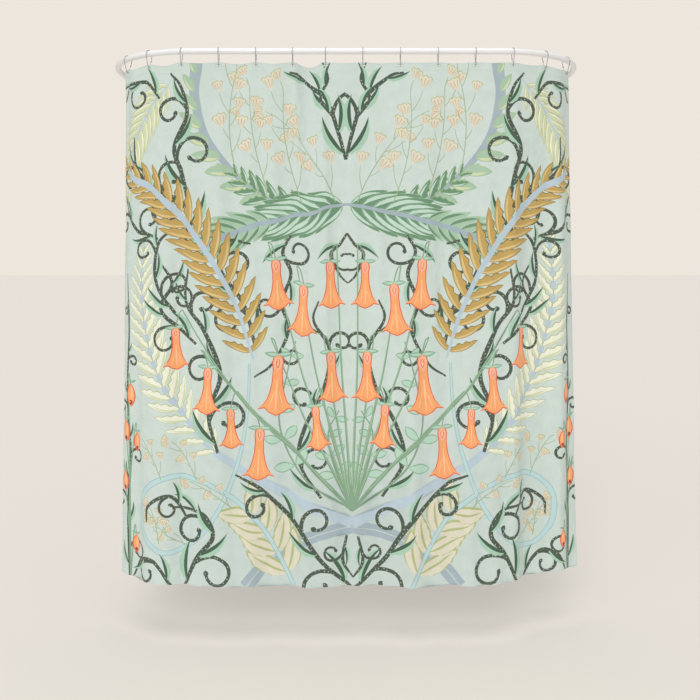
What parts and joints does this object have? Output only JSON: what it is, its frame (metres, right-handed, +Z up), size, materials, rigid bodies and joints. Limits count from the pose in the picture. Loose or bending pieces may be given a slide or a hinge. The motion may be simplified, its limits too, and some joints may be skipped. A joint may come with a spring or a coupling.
{
  "type": "shower curtain",
  "caption": "Fabric shower curtain with an all-over botanical print, hung by pear-shaped wire rings from a white U-shaped rail with wall flanges.",
  "frame": {"origin": "middle of the left wall flange's back face, on the rail's axis, in the plane of the wall", "axes": "+Z up; +X to the right seen from the room; +Y into the wall, so the curtain's printed face looks towards -Y"},
  "size_m": [1.888, 0.817, 1.958],
  "materials": {
    "white_enamel": "gloss",
    "white_cast": "satin",
    "zinc_steel": "satin",
    "printed_polyester": "matt plain weave, printed",
    "chrome_wire": "bright"
  },
  "bodies": {
    "root": {"rail_front": "white_enamel", "rail_leg_left": "white_enamel", "rail_joiner_left": "zinc_steel", "joiner_screw_left_1": "zinc_steel", "joiner_screw_left_2": "zinc_steel", "left_wall_flange": "white_cast", "flange_grub_screw_left": "zinc_steel", "wall_screw_left_1": "zinc_steel", "wall_screw_left_2": "zinc_steel", "wall_screw_left_3": "zinc_steel", "rail_leg_right": "white_enamel", "rail_joiner_right": "zinc_steel", "joiner_screw_right_1": "zinc_steel", "joiner_screw_right_2": "zinc_steel", "right_wall_flange": "white_cast", "flange_grub_screw_right": "zinc_steel", "wall_screw_right_1": "zinc_steel", "wall_screw_right_2": "zinc_steel", "wall_screw_right_3": "zinc_steel", "curtain_left_end": "printed_polyester", "curtain_middle": "printed_polyester", "curtain_right_end": "printed_polyester"},
    "hook_01": {"hook_01": "chrome_wire"},
    "hook_02": {"hook_02": "chrome_wire"},
    "hook_03": {"hook_03": "chrome_wire"},
    "hook_04": {"hook_04": "chrome_wire"},
    "hook_05": {"hook_05": "chrome_wire"},
    "hook_06": {"hook_06": "chrome_wire"},
    "hook_07": {"hook_07": "chrome_wire"},
    "hook_08": {"hook_08": "chrome_wire"},
    "hook_09": {"hook_09": "chrome_wire"},
    "hook_10": {"hook_10": "chrome_wire"},
    "hook_11": {"hook_11": "chrome_wire"},
    "hook_12": {"hook_12": "chrome_wire"},
    "hook_13": {"hook_13": "chrome_wire"},
    "hook_14": {"hook_14": "chrome_wire"}
  },
  "joints": [
    {"name": "right_end_draw", "type": "hinge", "parent": "root", "child": "hook_14", "pos_m": [1.462, -0.45, 0], "axis": [0, 0, -1], "range_deg": [0, 36], "deforming": ["curtain_right_end"]},
    {"name": "hook_12_follow", "type": "hinge", "parent": "root", "child": "hook_12", "pos_m": [1.462, -0.45, 0], "axis": [0, 0, -1], "range_deg": [0, 9.4]},
    {"name": "hook_13_follow", "type": "hinge", "parent": "root", "child": "hook_13", "pos_m": [1.462, -0.45, 0], "axis": [0, 0, -1], "range_deg": [0, 27.3]},
    {"name": "left_end_draw", "type": "hinge", "parent": "root", "child": "hook_01", "pos_m": [0.35, -0.45, 0], "axis": [0, 0, 1], "range_deg": [0, 34], "deforming": ["curtain_left_end"]},
    {"name": "hook_02_follow", "type": "hinge", "parent": "root", "child": "hook_02", "pos_m": [0.35, -0.45, 0], "axis": [0, 0, 1], "range_deg": [0, 26.3]},
    {"name": "hook_03_follow", "type": "hinge", "parent": "root", "child": "hook_03", "pos_m": [0.35, -0.45, 0], "axis": [0, 0, 1], "range_deg": [0, 9.2]},
    {"name": "hook_04_slide", "type": "slide", "parent": "root", "child": "hook_04", "axis": [1, 0, 0], "range_m": [-0.006, 0.006]},
    {"name": "hook_05_slide", "type": "slide", "parent": "root", "child": "hook_05", "axis": [1, 0, 0], "range_m": [-0.006, 0.006]},
    {"name": "hook_06_slide", "type": "slide", "parent": "root", "child": "hook_06", "axis": [1, 0, 0], "range_m": [-0.006, 0.006]},
    {"name": "hook_07_slide", "type": "slide", "parent": "root", "child": "hook_07", "axis": [1, 0, 0], "range_m": [-0.006, 0.006]},
    {"name": "hook_08_slide", "type": "slide", "parent": "root", "child": "hook_08", "axis": [1, 0, 0], "range_m": [-0.006, 0.006]},
    {"name": "hook_09_slide", "type": "slide", "parent": "root", "child": "hook_09", "axis": [1, 0, 0], "range_m": [-0.006, 0.006]},
    {"name": "hook_10_slide", "type": "slide", "parent": "root", "child": "hook_10", "axis": [1, 0, 0], "range_m": [-0.006, 0.006]},
    {"name": "hook_11_slide", "type": "slide", "parent": "root", "child": "hook_11", "axis": [1, 0, 0], "range_m": [-0.006, 0.006]}
  ],
  "couplings": [
    {"joint": "hook_12_follow", "follows": "right_end_draw", "ratio": 0.259},
    {"joint": "hook_13_follow", "follows": "right_end_draw", "ratio": 0.7581},
    {"joint": "hook_02_follow", "follows": "left_end_draw", "ratio": 0.7723},
    {"joint": "hook_03_follow", "follows": "left_end_draw", "ratio": 0.2701}
  ]
}
